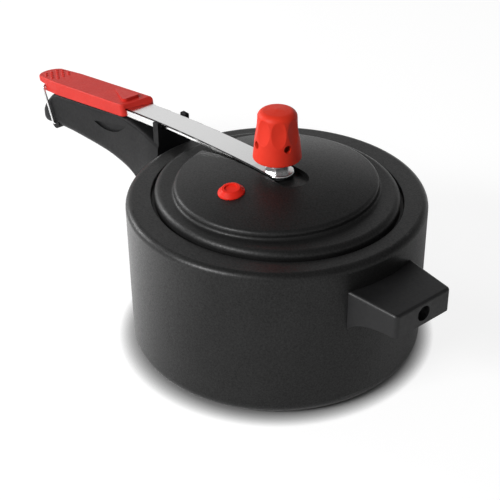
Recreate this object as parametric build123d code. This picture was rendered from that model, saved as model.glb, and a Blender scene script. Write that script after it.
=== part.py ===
from build123d import *
import os
from math import asin, atan2, cos, degrees, radians, sin, sqrt, tan

# Stovetop pressure cooker with an oval lid that closes from inside the pot.
# A sprung lever over a saddle on the long handle pulls the lid up against the pot's flange,
# and a wire bail holds the lever's grip down.
# Millimetres, +Z up, origin at the centre of the pot's underside.
# The long handle points along -X and the helper handle along +X.

# Pot
pot_radius = 110.0
pot_height = 118.0
pot_wall = 3.2
pot_base = 6.0
pot_foot_round = 9.0
pot_inner_round = 10.0
pot_shoulder_round = 5.0
flange_thickness = 4.5
rim_width_long = 15.5
rim_width_short = 20.5
mouth_edge_round = 0.8

# Lid
lid_wall = 3.0
lid_mouth_gap = 2.4
lid_overlap = 4.6
lid_edge_thickness = 2.4
lid_ring_rise = 5.3
lid_ring_round = 4.5
ring_width_long = 19.6
ring_width_short = 11.1
panel_foot_round = 2.0
panel_edge_round = 3.0
dome_rise = 19.6
dome_radius = 330.0
trough_half_width = 12.7
trough_end = 28.0
trough_depth = 5.2
trough_tilt = 3.7
trough_overrun = 12.0
gasket_thickness = 2.4
gasket_lip = 2.4
gasket_skirt = 1.2
gasket_clearance = 0.1

# Lever strip: a flat seat on the vent, then one long downward bend
lever_half_width = 11.0
lever_thickness = 1.6
lever_tip = 13.0
lever_seat_end = 16.0
lever_height = 19.9
lever_bend_radius = 1786.0
lever_bend_offset = 36.0
lever_lip_depth = 2.4
lever_skirt_depth = 5.8
lever_skirt_gap = 1.5
lever_edge_round = 1.0
lever_end_inset = 26.0

# Saddle on the long handle
saddle_offset = 15.0
saddle_root_drop = 15.0
saddle_round = 3.2
saddle_clearance = 0.35
saddle_tongue_half_width = 8.4
saddle_side_clearance = 0.7
saddle_shoulder_drop = 2.4
ear_thickness = 3.8
ear_rise = 1.6
ear_round = 1.3

# Long handle: drops of its top and underside below the pot's height, half widths at the top
# and at the underside, and corner radii there. Where the top is None it runs under the grip.
# The first column is the distance out from the pot's wall, or from the bail's hinge in the
# second table, whose first rows are drawn evenly up to handle_even_end.
handle_root_sections = (
    (-8.0, 5.0, 76.0, 18.0, 27.5, 3.0, 7.0),
    (6.0, 4.8, 74.5, 16.4, 25.0, 3.0, 7.0),
    (20.0, 2.0, 67.5, 16.4, 20.5, 2.8, 7.0),
    (38.0, -0.6, 56.0, 15.2, 16.5, 2.6, 7.0),
    (60.0, None, 46.0, 14.2, 14.4, 2.6, 7.0),
    (95.0, None, 42.7, 13.2, 13.2, 3.0, 7.0),
)
handle_end_sections = (
    (-34.0, None, 43.6, 13.0, 13.0, 4.0, 7.0),
    (-1.0, None, 46.0, 13.0, 13.0, 6.0, 7.0),
    (11.0, 23.0, 48.0, 12.6, 12.6, 6.5, 6.5),
    (18.0, 30.5, 49.0, 11.8, 11.8, 6.5, 6.0),
    (21.5, 36.0, 46.5, 9.8, 9.8, 4.8, 4.8),
)
handle_even_end = 11.0
handle_step = 11.75
handle_side = 13.0
handle_fit = 0.15
handle_gap = 0.9
recess_outer = (106.0, 17.6)
recess_low = (88.0, 19.4)
recess_inner = (57.5, 4.6)
recess_high = (80.0, 10.2)
recess_depth = 1.6

# Grip on the lever's outer end
grip_start = 45.0
grip_nose = 6.5
grip_near_setback = 2.0
grip_front_corner = 3.5
grip_slope_place = 55.5
grip_length = 138.5
grip_half_width = 14.0
grip_front_cover = 4.1
grip_end_cover = 5.1
grip_front_skirt = 5.9
grip_end_skirt = 6.6
grip_taper_length = 36.5
grip_end_half_width = 11.8
grip_end_bulge = 7.5
grip_edge_round = 1.0
grip_nose_round = 0.8
grip_fit = 0.1
grip_end_gap = 0.3
stop_start = 5.2
stop_length = 37.5
stop_near_side = 9.6
stop_far_side = 7.6
stop_height = 2.6
stop_corner_round = 3.0
bump_end_inset = 19.1
bump_field_length = 14.0
bump_field_half_width = 9.0
bump_radius = 1.7
bump_height = 0.8
bump_pitch = 5.6
grip_rivet_places = (30.0, 88.0)
rivet_radius = 2.0
rivet_head_radius = 3.6
rivet_head_height = 1.4
rivet_reach = 2.6

# Bail
bail_wire_radius = 1.1
bail_half_width = 14.6
bail_bend = 2.2
bail_pin_bend = 1.5
bail_bar_inset = 16.2
bail_bar_drop = 1.9
bail_hinge_drop = 43.0
bail_lean = 20.5
bail_pin_inner = 6.0
bail_pin_fit = 0.08
bail_boss_radius = 5.2
bail_clearance = 0.35
ledge_slope = 40.0

# Vent and the parts that clamp it
vent_shank_radius = 5.0
vent_bore_radius = 1.4
vent_seat_radius = 2.6
vent_seat_depth = 2.0
vent_stem_radius = 4.2
vent_stem_rise = 20.0
vent_thread_below = 2.5
hex_across_flats = 16.0
hex_tier = 4.1
hex_groove = 1.0
hex_groove_depth = 1.0
hex_chamfer = 0.7
hex_turn = -47.0
spacer_radius = 9.0
pad_radius = 10.5
pad_rise = 1.2
pad_drop = 1.0
seal_radius = 10.0
seal_thickness = 2.0
washer_radius = 9.5
washer_thickness = 1.5
nut_across_flats = 16.0
nut_thickness = 5.0
part_fit = 0.05

# Weight
weight_gap = 0.4
weight_height = 37.7
weight_base_radius = 17.7
weight_top_radius = 14.0
weight_crown = 1.2
weight_top_round = 5.5
weight_base_round = 1.2
weight_wall = 2.6
weight_hollow = 19.5
weight_hole_radius = 2.8
weight_hole_height = 13.3
weight_hole_count = 4
weight_turn = -15.0
scallop_count = 8
scallop_height = 24.5
scallop_depth = 1.3
scallop_radius = 40.0
core_radius = 10.6
core_top_wall = 3.2
core_skirt = 3.5
core_bore_clearance = 0.4
core_rest_clearance = 0.3
needle_base_radius = 2.2
needle_tip_radius = 0.7
needle_length = 2.6

# Safety plug in the lid
plug_place = 43.0
plug_radius = 9.7
plug_rim = 0.8
plug_top_radius = 6.6
plug_height = 3.8
plug_edge_round = 1.0
plug_dish_radius = 4.6
plug_dish_depth = 0.9
plug_neck_radius = 5.0
plug_foot_radius = 6.4
plug_foot_height = 3.0

# Long handle's bracket and fasteners
bracket_thickness = 2.6
bracket_half_width = 20.0
bracket_half_height = 21.0
bracket_drop = 36.0
tongue_length = 34.0
tongue_half_width = 6.0
tongue_half_height = 13.0
bracket_rivet_side = 13.5
bracket_rivet_rise = 13.5
wall_rivet_radius = 2.4
wall_rivet_head_radius = 4.6
wall_rivet_head_height = 1.6
wall_rivet_head_round = 1.2
wall_rivet_seat = 0.15
handle_screw_out = 27.0
handle_screw_web = 4.0
handle_screw_bite = 18.0
screw_radius = 2.5
screw_head_radius = 4.4
screw_head_height = 3.4
screw_head_round = 0.8
screw_hole_radius = 5.7
screw_slot_width = 1.2
screw_slot_depth = 1.2

# Helper handle
helper_reach = 36.6
helper_end_half_width = 26.4
helper_root_half_width = 30.8
helper_root_inset = 10.0
helper_drop = 20.5
helper_top_rise = 1.6
helper_end_height = 18.0
helper_arch = ((18.0, 18.4), (2.0, 24.0), (-6.0, 31.5))
helper_corner_round = 3.5
helper_edge_round = 2.2
helper_block_reach = 14.0
helper_block_half_width = 13.0
helper_block_half_height = 6.0
helper_rivet_side = 20.0
helper_pad_half_width = 25.0
helper_pad_thickness = 2.4
helper_hole_depth = 11.0
helper_screw_bite = 9.0

# Worked out from the sizes above
inner_radius = pot_radius - pot_wall
mouth_x = pot_radius - rim_width_long
mouth_y = pot_radius - rim_width_short
ring_x = mouth_x - lid_mouth_gap
ring_y = mouth_y - lid_mouth_gap
edge_x = mouth_x + lid_overlap
edge_y = mouth_y + lid_overlap
panel_x = ring_x - ring_width_long
panel_y = ring_y - ring_width_short
flange_underside = pot_height - flange_thickness
gasket_top = flange_underside - gasket_clearance
edge_top = gasket_top - gasket_thickness
edge_bottom = edge_top - lid_edge_thickness
ring_top = pot_height + lid_ring_rise
dome_top = pot_height + dome_rise
dome_centre = dome_top - dome_radius
trough_floor = dome_top - trough_depth
pad_top = trough_floor + pad_rise
pad_underside = trough_floor - lid_wall - pad_drop
lever_seat = pot_height + lever_height
seat_underside = lever_seat - lever_thickness
bend_centre_z = lever_seat - sqrt(lever_bend_radius**2 - (lever_bend_offset + lever_seat_end) ** 2)
saddle_x = -(pot_radius + saddle_offset)


def lever_z(x, below=0.0):
    """Height of the lever's bent stretch at x, a given depth below its top face."""
    radius = lever_bend_radius - below
    return bend_centre_z + sqrt(radius**2 - (x - lever_bend_offset) ** 2)


def lever_slope(x):
    """Downward slope of the lever's bent stretch at x, in radians."""
    return asin((lever_bend_offset - x) / lever_bend_radius)


hinge_z = lever_z(saddle_x, lever_thickness) - saddle_clearance - saddle_round
grip_front_x = saddle_x - grip_start
grip_front_z = lever_z(grip_front_x)
grip_slope = lever_slope(grip_front_x - grip_slope_place)
grip_end_x = grip_front_x - grip_length * cos(grip_slope)
lever_end_x = grip_end_x + lever_end_inset
bail_bar_x = grip_end_x + bail_bar_inset
bail_bar_z = lever_z(bail_bar_x) - bail_bar_drop
bail_hinge_z = pot_height - bail_hinge_drop
bail_height = bail_bar_z - bail_hinge_z
bail_hinge_x = bail_bar_x + bail_height * tan(radians(bail_lean))
vent_top = lever_seat + vent_stem_rise
hex_top = lever_seat + 2 * hex_tier + hex_groove
seal_bottom = pad_underside - seal_thickness
washer_bottom = seal_bottom - washer_thickness
nut_bottom = washer_bottom - nut_thickness
weight_base = hex_top + weight_gap
weight_top = weight_base + weight_height
core_bottom = weight_base + core_skirt
core_top = weight_top - core_top_wall
helper_top = pot_height - helper_drop
helper_axis = helper_top - helper_end_height / 2
helper_end_x = pot_radius + helper_reach
helper_seat_x = helper_end_x - helper_hole_depth
bracket_z = pot_height - bracket_drop
handle_screw_x = -(pot_radius + handle_screw_out)
handle_screw_seat = bracket_z - tongue_half_height - handle_screw_web


def side_slab(face, low, high):
    """Solid from a face drawn in the XZ plane, between two Y values."""
    return extrude(Plane.XZ.offset(-high) * face, amount=high - low)


def plan_prism(face, low, high):
    """Solid from a face drawn in the XY plane, between two heights."""
    return extrude(Plane.XY.offset(low) * face, amount=high - low)


def oval(half_x, half_y, low, high):
    return plan_prism(Ellipse(half_x, half_y), low, high)


def block(x_range, y_range, z_range):
    """Box between two places on each axis."""
    sizes = [high - low for low, high in (x_range, y_range, z_range)]
    return Pos(x_range[0], y_range[0], z_range[0]) * Box(*sizes, align=(Align.MIN, Align.MIN, Align.MIN))


def rod(radius, low, high, x=0.0, y=0.0):
    """Upright round bar between two heights."""
    return Pos(x, y, low) * Cylinder(radius, high - low, align=(Align.CENTER, Align.CENTER, Align.MIN))


def bar_along_x(radius, start, end, y, z):
    """Round bar along X between two places."""
    bar = Cylinder(radius, end - start, align=(Align.CENTER, Align.CENTER, Align.MIN))
    return Pos(start, y, z) * Rot(0, 90, 0) * bar


def bar_along_y(radius, half_length, x, z):
    return Pos(x, 0, z) * Rot(90, 0, 0) * Cylinder(radius, 2 * half_length)


def turned(points, rounds=()):
    """Solid of revolution about Z from a closed outline of (radius, height) points."""
    face = make_face(Polyline(*points, close=True))
    for radius, place in rounds:
        corner = face.vertices().sort_by_distance((place[0], place[1], 0))[0]
        face = fillet(corner, radius)
    return revolve(Plane.XZ * face, Axis.Z)


def hexagon(across_flats, low, high):
    """Hexagonal nut shape with its corners turned down at both ends."""
    corner = across_flats / sqrt(3)
    prism = plan_prism(RegularPolygon(corner, 6, rotation=hex_turn), low, high)
    crown = rod(corner, low, high)
    return prism & chamfer(crown.edges().filter_by(GeomType.CIRCLE), hex_chamfer)


def make_pot():
    outside = [(0, 0), (pot_radius, 0), (pot_radius, pot_height), (0, pot_height)]
    body = turned(
        outside,
        [(pot_foot_round, (pot_radius, 0)), (pot_shoulder_round, (pot_radius, pot_height))],
    )
    hollow = [
        (0, pot_base),
        (inner_radius, pot_base),
        (inner_radius, flange_underside),
        (0, flange_underside),
    ]
    body -= turned(hollow, [(pot_inner_round, (inner_radius, pot_base))])
    body -= oval(mouth_x, mouth_y, flange_underside - 1, pot_height + 1)
    lip = body.edges().group_by(Axis.Z)[-1].sort_by(SortBy.LENGTH)[0]
    body = fillet(lip, mouth_edge_round)
    for axis in bracket_rivet_axes() + helper_rivet_axes():
        body -= axis * wall_rivet_hole()
    return body


def bracket_rivet_axes():
    """Frames of the long handle's wall rivets: X out of the pot through each one."""
    turn = degrees(asin(bracket_rivet_side / pot_radius))
    return [
        Pos(0, 0, bracket_z + rise) * Rot(0, 0, 180 + side)
        for side in (-turn, turn)
        for rise in (-bracket_rivet_rise, bracket_rivet_rise)
    ]


def helper_rivet_axes():
    turn = degrees(asin(helper_rivet_side / pot_radius))
    return [Pos(0, 0, helper_axis) * Rot(0, 0, side) for side in (-turn, turn)]


def wall_rivet_hole():
    reach = 2 * bracket_thickness
    return bar_along_x(wall_rivet_radius + part_fit, inner_radius - reach, pot_radius + reach, 0, 0)


def wall_rivets(axes, plate_thickness):
    """Rivets through the pot's wall and a plate outside it, heads inside the pot."""
    seat = inner_radius - wall_rivet_seat
    shank = bar_along_x(wall_rivet_radius, seat - wall_rivet_head_height, pot_radius + plate_thickness, 0, 0)
    head = bar_along_x(wall_rivet_head_radius, seat - wall_rivet_head_height, seat, 0, 0)
    head = fillet(head.edges().group_by(Axis.X)[0], wall_rivet_head_round)
    rivet = head + shank
    return Compound(children=[axis * rivet for axis in axes])


def wall_plate(thickness, half_width, middle, half_height, side, grow=0.0):
    """Curved plate on the outside of the pot's wall, on the -X or the +X side."""
    low = middle - half_height - grow
    high = middle + half_height + grow
    plate = rod(pot_radius + thickness + grow, low, high) - rod(pot_radius + part_fit, low, high)
    reach = sorted((0, side * 2 * pot_radius))
    return plate & block(reach, (-half_width - grow, half_width + grow), (low, high))


def bracket_solid(grow=0.0):
    """Long handle's bracket, or the pocket it needs."""
    plate = wall_plate(bracket_thickness, bracket_half_width, bracket_z, bracket_half_height, -1, grow)
    tongue = block(
        (-pot_radius - tongue_length - grow, -pot_radius - part_fit),
        (-tongue_half_width - grow, tongue_half_width + grow),
        (bracket_z - tongue_half_height - grow, bracket_z + tongue_half_height + grow),
    )
    return plate + (tongue - rod(pot_radius + part_fit, 0, pot_height))


def make_handle_bracket():
    body = bracket_solid()
    for axis in bracket_rivet_axes():
        body -= axis * wall_rivet_hole()
    return body - rod(screw_radius + part_fit, handle_screw_seat, pot_height, handle_screw_x)


def machine_screw(bite):
    """Slotted screw along Z: its head's seat at the origin, the shank upward."""
    head = rod(screw_head_radius, -screw_head_height, 0)
    head = fillet(head.edges().group_by(Axis.Z)[0], screw_head_round)
    reach = 2 * screw_head_radius
    slot_range = (-screw_slot_width / 2, screw_slot_width / 2)
    head -= block((-reach, reach), slot_range, (-2 * screw_head_height, screw_slot_depth - screw_head_height))
    return head + rod(screw_radius, 0, bite)


def make_handle_screw():
    return Pos(handle_screw_x, 0, handle_screw_seat) * machine_screw(handle_screw_web + handle_screw_bite)


def under_grip(x):
    """Height of the handle's top at x, where it runs below the grip."""
    front = grip_plane().from_local_coords((0, -grip_front_skirt, 0))
    end = grip_plane().from_local_coords((grip_length, -grip_end_skirt, 0))
    return front.Z + (end.Z - front.Z) * (x - front.X) / (end.X - front.X) - handle_gap


def smooth_value(places, values, place):
    """Value between the rows of a table, by a cubic that never overshoots them."""
    slopes = [
        (values[i + 1] - values[i]) / (places[i + 1] - places[i])
        for i in range(len(places) - 1)
    ]
    tangents = [slopes[0]]
    for before, after in zip(slopes, slopes[1:]):
        same_way = before * after > 0
        tangents.append(2 * before * after / (before + after) if same_way else 0.0)
    tangents.append(slopes[-1])
    row = max(i for i in range(len(slopes)) if places[i] <= place)
    step = places[row + 1] - places[row]
    t = (place - places[row]) / step
    ends = (1 + 2 * t) * (1 - t) ** 2 * values[row] + t**2 * (3 - 2 * t) * values[row + 1]
    return ends + t * (1 - t) * step * ((1 - t) * tangents[row] - t * tangents[row + 1])


def handle_rows():
    """Both tables of the long handle, with X places in the first column."""
    rows = [(-pot_radius - out, *sizes) for out, *sizes in handle_root_sections]
    return rows + [(bail_hinge_x - out, *sizes) for out, *sizes in handle_end_sections]


def handle_section(x):
    """Cross-section of the long handle at x, wider at the underside near the pot."""
    rows = handle_rows()
    places = [-row[0] for row in rows]
    tops = [under_grip(row[0]) if row[1] is None else pot_height - row[1] for row in rows]
    columns = [tops, *zip(*(row[2:] for row in rows))]
    top, bottom_drop, top_half, bottom_half, top_round, bottom_round = (
        smooth_value(places, values, -x) for values in columns
    )
    bottom = pot_height - bottom_drop
    corners = [(-top_half, top), (-bottom_half, bottom), (bottom_half, bottom), (top_half, top)]
    face = make_face(Polyline(*corners, close=True))
    face = fillet(face.vertices().group_by(Axis.Y)[-1], top_round)
    face = fillet(face.vertices().group_by(Axis.Y)[0], bottom_round)
    return Plane(origin=(x, 0, 0), x_dir=(0, -1, 0), z_dir=(-1, 0, 0)) * face


def handle_places():
    """X places at which the long handle's cross-sections are drawn."""
    start = handle_rows()[0][0]
    end = bail_hinge_x - handle_even_end
    count = round((start - end) / handle_step)
    even = [start + (end - start) * i / count for i in range(count + 1)]
    return even + [row[0] for row in handle_rows() if row[0] < end]


def handle_recess():
    """Leaf-shaped hollow in one side of the long handle, as a face in the XZ plane."""
    outer, low, inner, high = (
        (-(pot_radius + out), pot_height - drop)
        for out, drop in (recess_outer, recess_low, recess_inner, recess_high)
    )
    return make_face([ThreePointArc(outer, low, inner), ThreePointArc(inner, high, outer)])


def saddle_clearing():
    """Open space between the saddle and the pot's rim."""
    reach = 2 * handle_side
    x_range = (saddle_x + saddle_round, -mouth_x)
    return block(x_range, (-reach, reach), (pot_height - saddle_root_drop, pot_height + reach))


def make_saddle():
    x_range = (saddle_x - saddle_round, saddle_x + saddle_round)
    foot = pot_height - saddle_root_drop - saddle_round
    ear_inner = lever_half_width + saddle_side_clearance
    ear_outer = ear_inner + ear_thickness
    shoulder = hinge_z + saddle_round - saddle_shoulder_drop
    tongue_range = (-saddle_tongue_half_width, saddle_tongue_half_width)
    body = block(x_range, (-ear_outer, ear_outer), (foot, shoulder))
    body += block(x_range, tongue_range, (foot, hinge_z))
    body += bar_along_y(saddle_round, saddle_tongue_half_width, saddle_x, hinge_z)
    for y_range in ((-ear_outer, -ear_inner), (ear_inner, ear_outer)):
        ear = block(x_range, y_range, (foot, lever_z(saddle_x) + ear_rise))
        body += fillet(ear.edges().group_by(Axis.Z)[-1], ear_round)
    return body


def make_long_handle():
    body = loft([handle_section(x) for x in handle_places()])
    body += bar_along_y(bail_boss_radius, handle_side, bail_hinge_x, bail_hinge_z)
    reach = 2 * handle_side
    body -= side_slab(handle_recess(), handle_side - recess_depth, reach)
    body -= side_slab(handle_recess(), -reach, recess_depth - handle_side)
    body -= saddle_clearing()
    body += make_saddle()
    body -= rod(pot_radius + handle_fit, 0, pot_height)
    body -= bracket_solid(handle_fit)
    body -= rod(screw_hole_radius, 0, handle_screw_seat, handle_screw_x)
    screw_top = handle_screw_seat + handle_screw_web + handle_screw_bite + handle_fit
    body -= rod(screw_radius + handle_fit, handle_screw_seat, screw_top, handle_screw_x)
    body -= bar_along_y(bail_wire_radius + bail_pin_fit, reach, bail_hinge_x, bail_hinge_z)
    return body


def make_bail():
    lean = radians(bail_lean)
    plane = Plane(origin=(bail_hinge_x, 0, bail_hinge_z), x_dir=(0, 1, 0), z_dir=(cos(lean), 0, sin(lean)))
    length = bail_height / cos(lean)
    half = bail_half_width
    corners = [
        (-bail_pin_inner, 0),
        (-half, 0),
        (-half, length),
        (half, length),
        (half, 0),
        (bail_pin_inner, 0),
    ]
    path = plane * FilletPolyline(*corners, radius=[bail_pin_bend, bail_bend, bail_bend, bail_pin_bend])
    start = Plane(origin=path @ 0, z_dir=path % 0)
    return sweep(start * Circle(bail_wire_radius), path=path)


def lid_dome(below=0.0):
    return Pos(0, 0, dome_centre) * Sphere(dome_radius - below)


def trough_volume(grow=0.0):
    """Space of the trough, tilted down towards the handle, open at the panel's edge."""
    half = trough_half_width + grow
    end = trough_end - trough_half_width
    length = panel_x + trough_overrun + end
    outline = Pos(end - length / 2, 0) * Rectangle(length, 2 * half)
    outline += Pos(end, 0) * Circle(half)
    tilt = radians(trough_tilt)
    floor = Plane(
        origin=(0, 0, trough_floor - grow),
        x_dir=(cos(tilt), 0, sin(tilt)),
        z_dir=(-sin(tilt), 0, cos(tilt)),
    )
    return extrude(floor * outline, amount=dome_rise)


def make_lid():
    ring = oval(ring_x, ring_y, edge_bottom, ring_top)
    ring = fillet(ring.edges().group_by(Axis.Z)[-1], lid_ring_round)
    panel = oval(panel_x, panel_y, edge_bottom, dome_top + 1) & lid_dome()
    rim = panel.edges().filter_by(lambda e: e.center().Z > ring_top).sort_by(SortBy.LENGTH)[-1]
    panel = fillet(rim, panel_edge_round)
    body = oval(edge_x, edge_y, edge_bottom, edge_top) + ring + panel
    foot = body.edges().filter_by(lambda e: abs(e.center().Z - ring_top) < 0.01).sort_by(SortBy.LENGTH)
    body = fillet(foot[0], panel_foot_round)
    hollow = oval(ring_x - lid_wall, ring_y - lid_wall, edge_bottom - 1, ring_top - lid_wall)
    hollow += oval(panel_x - lid_wall, panel_y - lid_wall, edge_bottom - 1, dome_top) & lid_dome(lid_wall)
    hollow -= trough_volume(lid_wall)
    body -= hollow
    body -= trough_volume()
    body += rod(pad_radius, pad_underside, pad_top)
    body -= rod(vent_shank_radius + part_fit, edge_bottom, dome_top)
    body -= plug_frame() * rod(plug_neck_radius + part_fit, -3 * lid_wall, 3 * lid_wall)
    return body


def make_gasket():
    ring = oval(edge_x + gasket_lip, edge_y + gasket_lip, edge_bottom - gasket_skirt, gasket_top)
    ring -= oval(ring_x + part_fit, ring_y + part_fit, edge_top, gasket_top + 1)
    ring -= oval(edge_x, edge_y, edge_bottom, edge_top)
    ring -= oval(edge_x - gasket_lip, edge_y - gasket_lip, edge_bottom - 2 * gasket_skirt, edge_bottom)
    return ring


def plug_frame():
    """Frame on the dome's face at the safety plug, Z along the dome's normal."""
    lean = degrees(asin(plug_place / dome_radius))
    return Pos(0, 0, dome_centre) * Rot(lean, 0, 0) * Pos(0, 0, dome_radius)


def make_safety_plug():
    outline = [
        (0, -plug_rim),
        (plug_radius, -plug_rim),
        (plug_radius, plug_rim),
        (plug_top_radius, plug_height),
        (0, plug_height),
    ]
    rounds = [(plug_edge_round, (plug_radius, plug_rim)), (plug_edge_round, (plug_top_radius, plug_height))]
    cap = turned(outline, rounds)
    cap -= rod(plug_dish_radius, plug_height - plug_dish_depth, plug_height + 1)
    body = plug_frame() * cap - lid_dome(-part_fit)
    foot = plug_frame() * rod(plug_foot_radius, -lid_wall - plug_foot_height, 0)
    foot &= lid_dome(lid_wall + part_fit)
    return body + foot + plug_frame() * rod(plug_neck_radius, -lid_wall - plug_rim, plug_rim)


def lever_band(inner_x, outer_x, low, high):
    """Side outline of the strip's bent stretch between two depths below its top face."""
    middle = (inner_x + outer_x) / 2
    top = ThreePointArc(
        (inner_x, lever_z(inner_x, high)), (middle, lever_z(middle, high)), (outer_x, lever_z(outer_x, high))
    )
    bottom = ThreePointArc(
        (outer_x, lever_z(outer_x, low)), (middle, lever_z(middle, low)), (inner_x, lever_z(inner_x, low))
    )
    return make_face([top, Line(top @ 1, bottom @ 0), bottom, Line(bottom @ 1, top @ 0)])


def make_lever():
    seat_x = -lever_seat_end
    nose_x = lever_tip - lever_half_width
    body = side_slab(lever_band(seat_x, lever_end_x, lever_thickness, 0), -lever_half_width, lever_half_width)
    seat = Pos((nose_x + seat_x) / 2, 0) * Rectangle(nose_x - seat_x, 2 * lever_half_width)
    seat += Pos(nose_x, 0) * Circle(lever_half_width)
    body += plan_prism(seat, seat_underside, lever_seat)
    skirt_start = saddle_x - saddle_round - lever_skirt_gap
    edge = lever_half_width - lever_thickness
    for y_range in ((-lever_half_width, -edge), (edge, lever_half_width)):
        body += side_slab(lever_band(seat_x, lever_end_x, lever_lip_depth, 0), *y_range)
        body += side_slab(lever_band(skirt_start, lever_end_x, lever_skirt_depth, 0), *y_range)
    top = body.faces().filter_by(lambda f: f.normal_at().Z > 0.9)
    sides = top.edges().filter_by(lambda e: abs(abs(e.center().Y) - lever_half_width) < 0.01)
    body = fillet(sides, lever_edge_round)
    body -= rod(vent_shank_radius + part_fit, seat_underside - 1, lever_seat + 1)
    for place in grip_rivet_places:
        body -= strip_frame(place) * rod(rivet_radius + part_fit, -2 * lever_thickness, lever_thickness)
    return body


def grip_plane():
    """Plane of the grip's side outline: X out along the grip, Y up off the strip."""
    out = (-cos(grip_slope), 0, -sin(grip_slope))
    return Plane(origin=(grip_front_x, 0, grip_front_z), x_dir=out, z_dir=(0, 1, 0))


def grip_plan():
    """Plane of the grip's plan outline: X out along the grip, Z up off the strip."""
    side = grip_plane()
    return Plane(origin=side.origin, x_dir=side.x_dir, z_dir=side.y_dir)


def strip_frame(place):
    """Frame on the strip's top face at a distance out from the grip's front, Z off the strip."""
    x = grip_front_x - place * cos(grip_slope)
    slope = lever_slope(x)
    plane = Plane(
        origin=(x, 0, lever_z(x)),
        x_dir=(-cos(slope), 0, -sin(slope)),
        z_dir=(-sin(slope), 0, cos(slope)),
    )
    return plane.location


def grip_slab(face, low, high):
    """Solid from a face drawn in the grip's side plane, between two Y values."""
    return extrude(grip_plane().offset(low) * face, amount=high - low)


def grip_cover(place):
    """Height of the grip's top over its plane at a distance out from its front."""
    return grip_front_cover + (grip_end_cover - grip_front_cover) * place / grip_length


def grip_block():
    front_top = (0, grip_front_cover)
    nose = (-grip_nose, 0)
    side = make_face(
        Polyline(
            front_top,
            (grip_length, grip_end_cover),
            (grip_length, -grip_end_skirt),
            (0, -grip_front_skirt),
            nose,
            close=True,
        )
    )
    side = fillet(side.vertices().sort_by_distance((nose[0], nose[1], 0))[0], grip_nose_round)
    body = grip_slab(side, -grip_half_width, grip_half_width)
    taper_start = grip_length - grip_taper_length
    bulge_start = grip_length - grip_end_bulge
    half = grip_half_width
    near = [(grip_near_setback, half), (taper_start, half), (bulge_start, grip_end_half_width)]
    far = [(bulge_start, -grip_end_half_width), (taper_start, -half), (-grip_nose, -half)]
    outline = make_face(
        [
            Polyline(*near),
            ThreePointArc(near[-1], (grip_length, 0), far[0]),
            Polyline(*far),
            Line(far[-1], near[0]),
        ]
    )
    for place in (near[0], far[-1]):
        corner = outline.vertices().sort_by_distance((place[0], place[1], 0))[0]
        outline = fillet(corner, grip_front_corner)
    body &= extrude(grip_plan().offset(-2 * grip_half_width) * outline, amount=4 * grip_half_width)
    top = body.faces().filter_by(lambda f: f.normal_at().Z > 0.9).sort_by(SortBy.AREA)[-1]
    return fillet(top.edges(), grip_edge_round)


def thumb_stop():
    """Low wedge on the grip's top, highest at its end towards the pot."""
    end = stop_start + stop_length
    sink = grip_edge_round
    side = make_face(
        Polyline(
            (stop_start, grip_cover(stop_start) - sink),
            (stop_start, grip_cover(stop_start) + stop_height),
            (end, grip_cover(end)),
            (end, grip_cover(end) - sink),
            close=True,
        )
    )
    corners = [(stop_start, stop_near_side), (stop_start, -stop_far_side), (end, -stop_far_side)]
    plan = make_face(Polyline(*corners, close=True))
    plan = fillet(plan.vertices().group_by(Axis.X)[0], stop_corner_round)
    wedge = grip_slab(side, -grip_half_width, grip_half_width)
    return wedge & extrude(grip_plan() * plan, amount=2 * grip_half_width)


def bump_places():
    """Staggered rows of bumps inside an oval field near the grip's end."""
    row_pitch = bump_pitch * sin(radians(60))
    middle = grip_length - bump_end_inset
    places = []
    for row in range(-3, 4):
        for column in range(-3, 4):
            along = row * row_pitch
            across = (column + (row % 2) / 2) * bump_pitch
            if (along / bump_field_length) ** 2 + (across / bump_field_half_width) ** 2 < 1:
                places.append((middle + along, across))
    return places


def grip_bump():
    """Shallow spherical cap, its foot just below the origin."""
    radius = (bump_radius**2 + bump_height**2) / (2 * bump_height)
    ball = Pos(0, 0, bump_height - radius) * Sphere(radius)
    return ball & rod(2 * bump_radius, -bump_height, 2 * bump_height)


def bail_notch():
    """Slot in the grip's end: a round bed for the bail's bar, opening outward and down."""
    radius = bail_wire_radius + bail_clearance
    slope = radians(ledge_slope)
    far = grip_length
    low = (bail_bar_x + radius * sin(slope), bail_bar_z - radius * cos(slope))
    mouth = make_face(
        Polyline(
            (bail_bar_x, bail_bar_z + radius),
            (bail_bar_x - far, bail_bar_z + radius),
            (low[0] - far * cos(slope), low[1] - far * sin(slope)),
            low,
            (bail_bar_x, bail_bar_z),
            close=True,
        )
    )
    half = 2 * grip_half_width
    return side_slab(mouth, -half, half) + bar_along_y(radius, half, bail_bar_x, bail_bar_z)


def make_grip():
    body = grip_block() + thumb_stop()
    for along, across in bump_places():
        body += grip_plan() * Pos(along, across, grip_cover(along)) * grip_bump()
    pocket_half = lever_half_width + grip_fit
    pocket_front = grip_front_x + 2 * grip_nose
    pocket = lever_band(pocket_front, lever_end_x - grip_end_gap, 2 * grip_end_skirt, -grip_fit)
    body -= side_slab(pocket, -pocket_half, pocket_half)
    for place in grip_rivet_places:
        body -= strip_frame(place) * rod(rivet_radius + part_fit, 0, rivet_reach + grip_fit)
    return body - bail_notch()


def make_grip_rivets():
    head = rod(rivet_head_radius, -lever_thickness - rivet_head_height, -lever_thickness - part_fit)
    rivet = head + rod(rivet_radius, -lever_thickness - rivet_head_height, rivet_reach)
    return Compound(children=[strip_frame(place) * rivet for place in grip_rivet_places])


def make_spacer():
    sleeve = rod(spacer_radius, pad_top, seat_underside)
    return sleeve - rod(vent_shank_radius + part_fit, pad_top, seat_underside)


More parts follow.
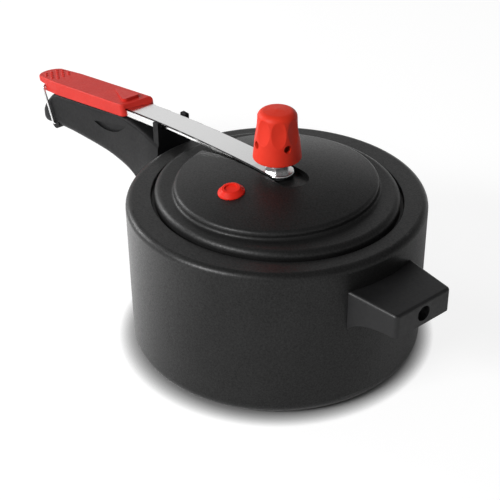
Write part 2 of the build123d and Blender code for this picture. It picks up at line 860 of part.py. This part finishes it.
def make_vent():
    groove_low = lever_seat + hex_tier
    groove_high = groove_low + hex_groove
    body = hexagon(hex_across_flats, lever_seat, groove_low) + hexagon(hex_across_flats, groove_high, hex_top)
    body += rod(hex_across_flats / 2 - hex_groove_depth, groove_low, groove_high)
    body += rod(vent_shank_radius, nut_bottom - vent_thread_below, lever_seat)
    body += rod(vent_stem_radius, hex_top, vent_top)
    body -= rod(vent_bore_radius, 0, vent_top)
    seat_low = vent_top - vent_seat_depth
    seat = [(0, seat_low), (vent_bore_radius, seat_low), (vent_seat_radius, vent_top), (0, vent_top)]
    return body - turned(seat)


def make_vent_seal():
    return rod(seal_radius, seal_bottom, pad_underside) - rod(vent_shank_radius + part_fit, 0, pad_underside)


def make_vent_washer():
    return rod(washer_radius, washer_bottom, seal_bottom) - rod(vent_shank_radius + part_fit, 0, seal_bottom)


def make_vent_nut():
    nut = hexagon(nut_across_flats, nut_bottom, washer_bottom)
    return nut - rod(vent_shank_radius + part_fit, 0, washer_bottom)


def weight_side(height):
    """Outer radius of the weight's sloping side at a height over its base."""
    rise = weight_height - weight_crown
    return weight_base_radius + (weight_top_radius - weight_base_radius) * height / rise


def scallop():
    """Large ball that cuts one shallow oval into the weight's side."""
    taper = atan2(weight_base_radius - weight_top_radius, weight_height - weight_crown)
    reach = scallop_radius - scallop_depth
    x = weight_side(scallop_height) + reach * cos(taper)
    z = weight_base + scallop_height + reach * sin(taper)
    return Pos(x, 0, z) * Sphere(scallop_radius)


def make_weight_cap():
    shoulder = weight_top - weight_crown
    outline = [
        (0, weight_base),
        (weight_base_radius, weight_base),
        (weight_top_radius, shoulder),
        (0, weight_top),
    ]
    rounds = [
        (weight_base_round, (weight_base_radius, weight_base)),
        (weight_top_round, (weight_top_radius, shoulder)),
    ]
    body = turned(outline, rounds)
    ceiling = weight_base + weight_hollow
    body -= turned(
        [
            (0, weight_base - 1),
            (weight_side(0) - weight_wall, weight_base - 1),
            (weight_side(weight_hollow) - weight_wall, ceiling),
            (core_radius + part_fit, ceiling),
            (core_radius + part_fit, core_top),
            (0, core_top),
        ]
    )
    hole_z = weight_base + weight_hole_height
    hole = bar_along_x(weight_hole_radius, core_radius, 2 * weight_base_radius, 0, hole_z)
    for step in range(weight_hole_count):
        angle = weight_turn + step * 360 / weight_hole_count
        body -= Rot(0, 0, angle) * hole
    for step in range(scallop_count):
        angle = weight_turn + (step + 0.5) * 360 / scallop_count
        body -= Rot(0, 0, angle) * scallop()
    return body


def make_weight_core():
    bore = vent_stem_radius + core_bore_clearance
    ceiling = vent_top + core_rest_clearance
    return turned(
        [
            (bore, core_bottom),
            (core_radius, core_bottom),
            (core_radius, core_top),
            (0, core_top),
            (0, ceiling - needle_length),
            (needle_tip_radius, ceiling - needle_length),
            (needle_base_radius, ceiling),
            (bore, ceiling),
        ]
    )


def helper_bracket_solid(grow=0.0):
    """Helper handle's bracket, or the pocket it needs."""
    plate = wall_plate(
        helper_pad_thickness, helper_pad_half_width, helper_axis, helper_block_half_height, 1, grow
    )
    lug = block(
        (pot_radius + part_fit, pot_radius + helper_block_reach + grow),
        (-helper_block_half_width - grow, helper_block_half_width + grow),
        (helper_axis - helper_block_half_height - grow, helper_axis + helper_block_half_height + grow),
    )
    return plate + (lug - rod(pot_radius + part_fit, 0, pot_height))


def helper_bite_x():
    return pot_radius + helper_block_reach - helper_screw_bite


def make_helper_bracket():
    body = helper_bracket_solid()
    for axis in helper_rivet_axes():
        body -= axis * wall_rivet_hole()
    reach = 2 * helper_reach
    return body - bar_along_x(screw_radius + part_fit, helper_bite_x(), pot_radius + reach, 0, helper_axis)


def make_helper_handle():
    root_x = sqrt(pot_radius**2 - helper_root_half_width**2)
    back_x = root_x - helper_root_inset
    end_bottom = (helper_end_x, helper_top - helper_end_height)
    arch = [end_bottom] + [(pot_radius + out, helper_top - drop) for out, drop in helper_arch]
    root = arch[-1]
    rest = Polyline(
        root,
        (back_x, root[1]),
        (back_x, helper_top + helper_top_rise),
        (helper_end_x, helper_top),
        end_bottom,
    )
    side = make_face([Spline(*arch), rest])
    root_half = helper_root_half_width
    near = [(back_x, -root_half), (root_x, -root_half), (helper_end_x, -helper_end_half_width)]
    far = [(x, -y) for x, y in reversed(near)]
    plan = make_face(Polyline(*near, *far, close=True))
    plan = fillet(plan.vertices().group_by(Axis.X)[-1], helper_corner_round)
    body = side_slab(side, -root_half, root_half) & plan_prism(plan, 0, pot_height)
    body = fillet(body.faces().sort_by(Axis.Z)[-1].edges(), helper_edge_round)
    body -= rod(pot_radius + handle_fit, 0, pot_height)
    body -= helper_bracket_solid(handle_fit)
    body -= bar_along_x(screw_hole_radius, helper_seat_x, helper_end_x + 1, 0, helper_axis)
    return body - bar_along_x(screw_radius + handle_fit, pot_radius, helper_end_x, 0, helper_axis)


def make_helper_screw():
    length = helper_seat_x - helper_bite_x() - handle_fit
    return Pos(helper_seat_x, 0, helper_axis) * Rot(0, -90, 0) * machine_screw(length)


def build_all():
    return {
        "pot_body": make_pot(),
        "long_handle": make_long_handle(),
        "handle_bracket": make_handle_bracket(),
        "bracket_rivets": wall_rivets(bracket_rivet_axes(), bracket_thickness),
        "handle_screw": make_handle_screw(),
        "bail_wire": make_bail(),
        "helper_handle": make_helper_handle(),
        "helper_bracket": make_helper_bracket(),
        "helper_rivets": wall_rivets(helper_rivet_axes(), helper_pad_thickness),
        "helper_screw": make_helper_screw(),
        "lid": make_lid(),
        "lid_gasket": make_gasket(),
        "safety_valve": make_safety_plug(),
        "lever_strip": make_lever(),
        "lid_grip": make_grip(),
        "grip_rivets": make_grip_rivets(),
        "strip_spacer": make_spacer(),
        "vent_body": make_vent(),
        "vent_seal": make_vent_seal(),
        "vent_washer": make_vent_washer(),
        "vent_nut": make_vent_nut(),
        "weight_cap": make_weight_cap(),
        "weight_core": make_weight_core(),
    }


os.makedirs("parts", exist_ok=True)
for node, shape in build_all().items():
    export_step(shape, f"parts/{node}.step")
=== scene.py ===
import bpy
from mathutils import Matrix, Vector

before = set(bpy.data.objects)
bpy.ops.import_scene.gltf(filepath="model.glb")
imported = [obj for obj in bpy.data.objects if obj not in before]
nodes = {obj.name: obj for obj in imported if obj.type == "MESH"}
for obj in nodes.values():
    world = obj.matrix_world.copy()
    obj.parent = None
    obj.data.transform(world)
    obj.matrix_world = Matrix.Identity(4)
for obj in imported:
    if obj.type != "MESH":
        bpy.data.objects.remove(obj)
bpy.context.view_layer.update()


def add_node(tree, kind, inputs=None, operation=None):
    """Adds a shader node. Each input is a socket to link or a value to set."""
    node = tree.nodes.new(kind)
    if operation:
        node.operation = operation
    for key, value in (inputs or {}).items():
        if isinstance(value, bpy.types.NodeSocket):
            tree.links.new(value, node.inputs[key])
        else:
            node.inputs[key].default_value = value
    return node


def multiply_add(tree, first, factor, added):
    """Value of first * factor + added."""
    return add_node(tree, "ShaderNodeMath", {0: first, 1: factor, 2: added}, "MULTIPLY_ADD").outputs["Value"]


def ramp(tree, value, stops):
    """Colour ramp over a value, from (position, colour or grey) stops."""
    node = add_node(tree, "ShaderNodeValToRGB", {"Fac": value})
    elements = node.color_ramp.elements
    while len(elements) < len(stops):
        elements.new(0.5)
    for element, (position, colour) in zip(elements, stops):
        element.position = position
        element.color = (*colour, 1.0) if isinstance(colour, tuple) else (colour, colour, colour, 1.0)
    return node.outputs["Color"]


class Look:
    """A procedural material: a Principled shader and the textures that feed it."""

    # Noise values that take the low and the high end of a spread
    texture_low = 0.3
    texture_high = 0.7

    def __init__(self, name, colour, roughness, metallic=0.0, specular=0.5):
        """The values given here hold where no texture feeds the socket."""
        self.material = bpy.data.materials.new(name)
        self.material.use_nodes = True
        self.tree = self.material.node_tree
        self.shader = self.tree.nodes["Principled BSDF"]
        self.shader.inputs["Base Color"].default_value = (*colour, 1.0)
        self.shader.inputs["Roughness"].default_value = roughness
        self.shader.inputs["Metallic"].default_value = metallic
        self.shader.inputs["Specular IOR Level"].default_value = specular
        self.place = self.add("ShaderNodeTexCoord").outputs["Object"]
        self.normal = None

    def add(self, kind, inputs=None, operation=None):
        return add_node(self.tree, kind, inputs, operation)

    def feed(self, socket, source):
        self.tree.links.new(source, self.shader.inputs[socket])

    def stretched(self, scale):
        """Object coordinates scaled per axis."""
        return self.add("ShaderNodeMapping", {"Vector": self.place, "Scale": scale}).outputs["Vector"]

    def noise(self, scale, detail=2.0, rough=0.5, place=None):
        settings = {"Vector": place or self.place, "Scale": scale, "Detail": detail, "Roughness": rough}
        return self.add("ShaderNodeTexNoise", settings).outputs["Fac"]

    def colour_from(self, value, low, high):
        """Feeds the base colour from a texture, from the low colour or grey to the high one."""
        self.feed("Base Color", ramp(self.tree, value, [(self.texture_low, low), (self.texture_high, high)]))

    def vary(self, socket, value, low, high):
        """Feeds a shader socket from a texture, spread from low to high."""
        limits = {"From Min": self.texture_low, "From Max": self.texture_high, "To Min": low, "To Max": high}
        spread = self.add("ShaderNodeMapRange", {"Value": value, **limits})
        self.feed(socket, spread.outputs["Result"])

    def band(self, low, high):
        """1 where the distance from the middle plane, along Y, is from low to high, else 0."""
        split = self.add("ShaderNodeSeparateXYZ", {"Vector": self.place})
        across = self.add("ShaderNodeMath", {0: split.outputs["Y"]}, "ABSOLUTE")
        limits = {0: across.outputs["Value"], 1: (low + high) / 2, 2: (high - low) / 2}
        return self.add("ShaderNodeMath", limits, "COMPARE").outputs["Value"]

    def shade(self, mask, colour):
        """Lays a colour over the base colour where the mask is 1."""
        base = self.shader.inputs["Base Color"].links[0].from_socket
        mix = self.add("ShaderNodeMixRGB", {"Fac": mask, "Color1": base, "Color2": (*colour, 1.0)})
        self.feed("Base Color", mix.outputs["Color"])

    def bump(self, value, strength, distance):
        """Adds a bump on top of those added before."""
        node = self.add("ShaderNodeBump", {"Strength": strength, "Distance": distance, "Height": value})
        if self.normal:
            self.tree.links.new(self.normal, node.inputs["Normal"])
        self.normal = node.outputs["Normal"]
        self.feed("Normal", self.normal)

    def on(self, *names):
        for name in names:
            slots = nodes[name].data.materials
            slots.clear()
            slots.append(self.material)


def coating(name, dark, pale, specular, roughness):
    """Matte black non-stick coating: fine grain with faint speckle."""
    look = Look(name, (dark, dark, dark), roughness=0.5, specular=specular)
    grain = look.noise(900.0, rough=0.7)
    speckle = look.noise(800.0, detail=3.0, rough=0.7)
    look.colour_from(look.noise(35.0, detail=3.0), dark, pale)
    look.vary("Roughness", grain, *roughness)
    look.vary("Specular IOR Level", speckle, 0.6 * specular, 1.4 * specular)
    look.bump(grain, strength=0.50, distance=0.00008)
    look.bump(look.noise(260.0), strength=0.10, distance=0.0002)
    return look


def phenolic(name, specular):
    """Black thermoset moulding: satin, slightly uneven."""
    look = Look(name, (0.010, 0.010, 0.0105), roughness=0.45, specular=specular)
    cloud = look.noise(28.0, detail=4.0)
    look.colour_from(cloud, low=(0.008, 0.008, 0.0085), high=(0.013, 0.013, 0.0135))
    look.vary("Roughness", look.noise(420.0, detail=3.0), low=0.38, high=0.52)
    look.bump(look.noise(900.0), strength=0.18, distance=0.0001)
    return look


def red_moulding(name, dark, pale, specular, roughness):
    """Red plastic or silicone with a faint cloud and moulding texture."""
    look = Look(name, pale, roughness=roughness[0], specular=specular)
    look.colour_from(look.noise(45.0, detail=3.0), dark, pale)
    look.vary("Roughness", look.noise(500.0), *roughness)
    look.bump(look.noise(1200.0), strength=0.12, distance=0.0001)
    return look


def drawn_steel(name, grey, roughness, scale):
    """Bright steel with fine lines along the axis of least scale."""
    look = Look(name, (grey, grey, grey), roughness=roughness[0], metallic=1.0)
    lines = look.noise(1.0, detail=3.0, rough=0.6, place=look.stretched(scale))
    look.colour_from(lines, low=grey * 0.97, high=grey * 1.02)
    look.vary("Roughness", lines, *roughness)
    look.bump(lines, strength=0.02, distance=0.00003)
    return look


def mottled_metal(name, colour, roughness):
    """Turned, plated or cast metal with a mottled finish."""
    look = Look(name, colour, roughness=roughness[0], metallic=1.0)
    grain = look.noise(700.0, detail=3.0)
    dark = tuple(0.9 * channel for channel in colour)
    look.colour_from(look.noise(90.0, detail=3.0), dark, colour)
    look.vary("Roughness", grain, *roughness)
    look.bump(grain, strength=0.08, distance=0.00006)
    return look


def strip_with_painted_edge_reflection():
    """Rolled leaf with a painted dark reflection along its rounded edges, laid over them because their mesh
    would mirror the key in dashes.
    """
    half_width = 0.011
    edge_radius = 0.001
    side_margin = 0.00003
    look = drawn_steel("strip_look", grey=0.79, roughness=(0.16, 0.22), scale=(30.0, 1800.0, 1800.0))
    # Painted dark reflection laid over the rounded edges
    look.shade(look.band(half_width - edge_radius, half_width - side_margin), (0.05, 0.05, 0.05))
    return look


def rubber():
    """Grey nitrile with a faint cloud."""
    look = Look("gasket_look", (0.16, 0.16, 0.16), roughness=0.6)
    look.colour_from(look.noise(60.0, detail=3.0), low=0.13, high=0.19)
    look.bump(look.noise(800.0), strength=0.15, distance=0.0001)
    return look


# Looks of the CAD nodes
coating("pot_coating_look", dark=0.009, pale=0.012, specular=0.30, roughness=(0.31, 0.44)).on("pot_body")
coating("lid_coating_look", dark=0.008, pale=0.011, specular=0.30, roughness=(0.36, 0.50)).on("lid")
# Both handles are one phenolic: the long handle's low specular paints shade on it, the helper's high
# specular paints sheen
phenolic("handle_look", specular=0.09).on("long_handle")
phenolic("helper_look", specular=0.44).on("helper_handle")
red_moulding(
    "grip_look",
    dark=(0.57, 0.024, 0.016),
    pale=(0.63, 0.031, 0.021),
    specular=0.20,
    roughness=(0.42, 0.55),
).on("lid_grip")
red_moulding(
    "cap_look",
    dark=(0.72, 0.030, 0.012),
    pale=(0.80, 0.040, 0.016),
    specular=0.22,
    roughness=(0.42, 0.56),
).on("weight_cap")
red_moulding(
    "silicone_look",
    dark=(0.72, 0.020, 0.010),
    pale=(0.82, 0.028, 0.014),
    specular=0.14,
    roughness=(0.40, 0.52),
).on("safety_valve", "vent_seal")
strip_with_painted_edge_reflection().on("lever_strip")
drawn_steel("wire_look", grey=0.74, roughness=(0.20, 0.32), scale=(900.0, 900.0, 40.0)).on("bail_wire")
mottled_metal("vent_look", (0.66, 0.66, 0.67), roughness=(0.26, 0.40)).on("vent_body", "vent_nut")
mottled_metal("screw_look", (0.55, 0.55, 0.57), roughness=(0.30, 0.45)).on(
    "handle_screw", "helper_screw", "grip_rivets", "strip_spacer", "vent_washer"
)
mottled_metal("cast_look", (0.60, 0.60, 0.61), roughness=(0.40, 0.58)).on(
    "handle_bracket", "helper_bracket", "bracket_rivets", "helper_rivets"
)
mottled_metal("core_look", (0.70, 0.52, 0.27), roughness=(0.28, 0.42)).on("weight_core")
rubber().on("lid_gasket")


def floor_material():
    """White to the camera but for lamp shadows and a painted contact shadow. In reflections, a painted pool
    of light, brightest in a band under the long handle.
    """
    paint_grey = 0.85
    paint_grey_seen = 0.25
    glow_seen = 0.85
    contact_reach = 0.014
    contact_power = 3.0
    light_pool_start, light_pool_end = -0.50, 0.10
    light_pool_levels = [(-0.38, 0.30), (-0.27, 0.95), (-0.20, 0.95), (0.02, 0.10)]

    material = bpy.data.materials.new("floor_look")
    material.use_nodes = True
    tree = material.node_tree
    tree.nodes.clear()
    path = add_node(tree, "ShaderNodeLightPath")
    camera_ray = path.outputs["Is Camera Ray"]
    grey = multiply_add(tree, camera_ray, paint_grey_seen - paint_grey, paint_grey)
    paint = add_node(tree, "ShaderNodeBsdfDiffuse", {"Color": grey})

    # Glow that the camera sees, dimmed close to the part by ambient occlusion: a painted contact shadow
    near = add_node(tree, "ShaderNodeAmbientOcclusion", {"Distance": contact_reach})
    contact = add_node(tree, "ShaderNodeMath", {0: near.outputs["AO"], 1: contact_power}, "POWER")
    seen = multiply_add(tree, contact.outputs["Value"], glow_seen, 0.0)

    # Glow that reflections see, by the place along X: a painted pool of light on the floor
    place = add_node(tree, "ShaderNodeTexCoord").outputs["Object"]
    spot = add_node(tree, "ShaderNodeSeparateXYZ", {"Vector": place})
    limits = {"Value": spot.outputs["X"], "From Min": light_pool_start, "From Max": light_pool_end}
    along = add_node(tree, "ShaderNodeMapRange", limits).outputs["Result"]
    stops = [((x - light_pool_start) / (light_pool_end - light_pool_start), level) for x, level in light_pool_levels]
    mirrored = multiply_add(tree, path.outputs["Is Glossy Ray"], ramp(tree, along, stops), 0.0)

    strength = multiply_add(tree, camera_ray, seen, mirrored)
    glow = add_node(tree, "ShaderNodeEmission", {"Strength": strength})
    both = add_node(tree, "ShaderNodeAddShader", {0: paint.outputs["BSDF"], 1: glow.outputs["Emission"]})
    add_node(tree, "ShaderNodeOutputMaterial", {"Surface": both.outputs["Shader"]})
    return material


# Floor
floor_reach = 6.0
floor_corners = [(x * floor_reach, y * floor_reach, 0.0) for x, y in ((-1, -1), (1, -1), (1, 1), (-1, 1))]
floor_mesh = bpy.data.meshes.new("floor")
floor_mesh.from_pydata(floor_corners, [], [(0, 1, 2, 3)])
floor_mesh.materials.append(floor_material())
floor = bpy.data.objects.new("floor", floor_mesh)
bpy.context.scene.collection.objects.link(floor)


def studio_world():
    """White where it is seen, a pale wall under a dim ceiling in reflections, softer where it lights."""
    soft_strength = 0.24
    room_up = (0.33, 0.37, 1.0)
    wall_to_ceiling = [(0.35, 0.85), (0.75, 0.15)]

    world = bpy.data.worlds.new("studio")
    world.use_nodes = True
    tree = world.node_tree
    tree.nodes.clear()
    white = add_node(tree, "ShaderNodeBackground", {"Color": (1.0, 1.0, 1.0, 1.0)})
    soft = add_node(tree, "ShaderNodeBackground", {"Strength": soft_strength})
    heading = add_node(tree, "ShaderNodeTexCoord").outputs["Generated"]
    height = add_node(tree, "ShaderNodeVectorMath", {0: heading, 1: room_up}, "DOT_PRODUCT")
    room_grey = ramp(tree, height.outputs["Value"], wall_to_ceiling)
    room = add_node(tree, "ShaderNodeBackground", {"Color": room_grey})
    path = add_node(tree, "ShaderNodeLightPath")
    rays = {0: path.outputs["Is Glossy Ray"], 1: path.outputs["Is Transmission Ray"]}
    mirrored = add_node(tree, "ShaderNodeMath", rays, "MAXIMUM")
    unseen = add_node(
        tree,
        "ShaderNodeMixShader",
        {"Fac": mirrored.outputs["Value"], 1: soft.outputs["Background"], 2: room.outputs["Background"]},
    )
    mix = add_node(
        tree,
        "ShaderNodeMixShader",
        {"Fac": path.outputs["Is Camera Ray"], 1: unseen.outputs["Shader"], 2: white.outputs["Background"]},
    )
    add_node(tree, "ShaderNodeOutputWorld", {"Surface": mix.outputs["Shader"]})
    return world


bpy.context.scene.world = studio_world()


def area_light(name, place, target, size, power):
    lamp = bpy.data.lights.new(name, "AREA")
    lamp.shape = "RECTANGLE"
    lamp.size, lamp.size_y = size
    lamp.energy = power
    holder = bpy.data.objects.new(name, lamp)
    holder.location = place
    holder.rotation_euler = (Vector(target) - Vector(place)).to_track_quat("-Z", "Y").to_euler()
    bpy.context.scene.collection.objects.link(holder)


# Lamps: a wide key from the camera's left, one at the left side and a low one behind the pot
area_light("key", place=(-0.14, -1.68, 1.10), target=(-0.02, 0.0, 0.08), size=(0.9, 0.4), power=32.0)
area_light("side", place=(-1.40, -0.50, 0.60), target=(-0.20, -0.05, 0.0), size=(0.6, 0.6), power=9.0)
area_light("back", place=(-1.20, 1.35, 0.13), target=(0.0, 0.0, 0.10), size=(0.9, 0.24), power=0.9)


def photo_camera():
    """Camera at the photograph's viewing angle. Its lens and picture centre are in picture pixels."""
    lens_px = 1207.8
    centre_px = (276.69, 259.73)
    frame_px = 500.0
    place = Vector((0.5681, -0.5118, 0.5543))
    forward = Vector((-0.6239, 0.5622, -0.5429)).normalized()
    right = Vector((0.6672, 0.7449, 0.0045)).normalized()

    camera = bpy.data.cameras.new("camera")
    camera.sensor_width = 36.0
    camera.lens = lens_px / frame_px * camera.sensor_width
    camera.shift_x = (frame_px / 2 - centre_px[0]) / frame_px
    camera.shift_y = (centre_px[1] - frame_px / 2) / frame_px
    camera.clip_start = 0.05
    camera.clip_end = 50.0
    holder = bpy.data.objects.new("camera", camera)
    up = right.cross(forward).normalized()
    turn = Matrix((right, up, -forward)).transposed().to_4x4()
    holder.matrix_world = Matrix.Translation(place) @ turn
    bpy.context.scene.collection.objects.link(holder)
    return holder


bpy.context.scene.camera = photo_camera()
bpy.context.scene.view_settings.view_transform = "Standard"
